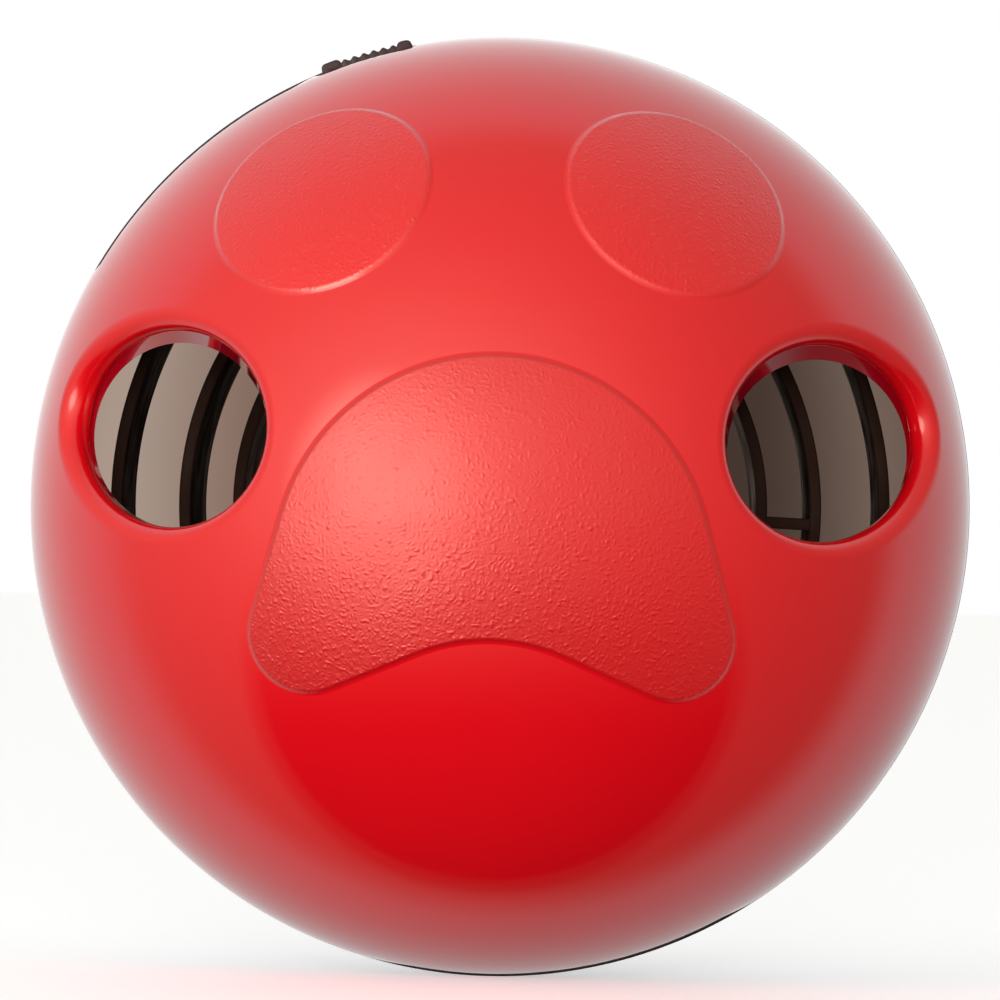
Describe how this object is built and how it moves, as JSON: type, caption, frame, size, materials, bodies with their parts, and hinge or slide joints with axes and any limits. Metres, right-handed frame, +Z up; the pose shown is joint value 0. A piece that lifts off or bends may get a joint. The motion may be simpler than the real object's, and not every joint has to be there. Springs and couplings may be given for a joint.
{
  "type": "treat dispensing ball",
  "caption": "Hollow pet ball that drops dry food through shuttered openings as it rolls, with a raised paw, an inner maze, a turning adjuster and a see-through rear half.",
  "frame": {"origin": "centre of the ball", "axes": "+Z up as the ball stands in the picture, -Y out of the middle of the paw along the ball's axis, +X to the right seen from the front"},
  "size_m": [0.1302, 0.1304, 0.1302],
  "materials": {
    "opaque_shell": "opaque red hard plastic, glossy, with a fine leathery grain in the lower part of the paw",
    "smoke_plastic": "smoke grey see-through hard plastic, glossy"
  },
  "bodies": {
    "front": {"front_shell": "opaque_shell"},
    "adjuster": {"adjuster_ring": "smoke_plastic", "thumb_tab": "smoke_plastic", "shutter_right": "smoke_plastic", "shutter_left": "smoke_plastic"},
    "maze": {"maze_wall_outer": "smoke_plastic", "maze_wall_middle": "smoke_plastic", "maze_wall_inner": "smoke_plastic", "maze_dividers": "smoke_plastic"},
    "rear": {"rear_shell": "smoke_plastic"}
  },
  "joints": [
    {"name": "adjust_turn", "type": "hinge", "parent": "front", "child": "adjuster", "pos_m": [0, 0, 0], "axis": [0, -1, 0], "range_deg": [0, 38]},
    {"name": "pull_apart", "type": "slide", "parent": "front", "child": "maze", "axis": [0, 1, 0], "range_m": [0, 0.075]},
    {"name": "lock_turn", "type": "hinge", "parent": "maze", "child": "rear", "pos_m": [0, 0, 0], "axis": [0, -1, 0], "range_deg": [0, 20]}
  ]
}
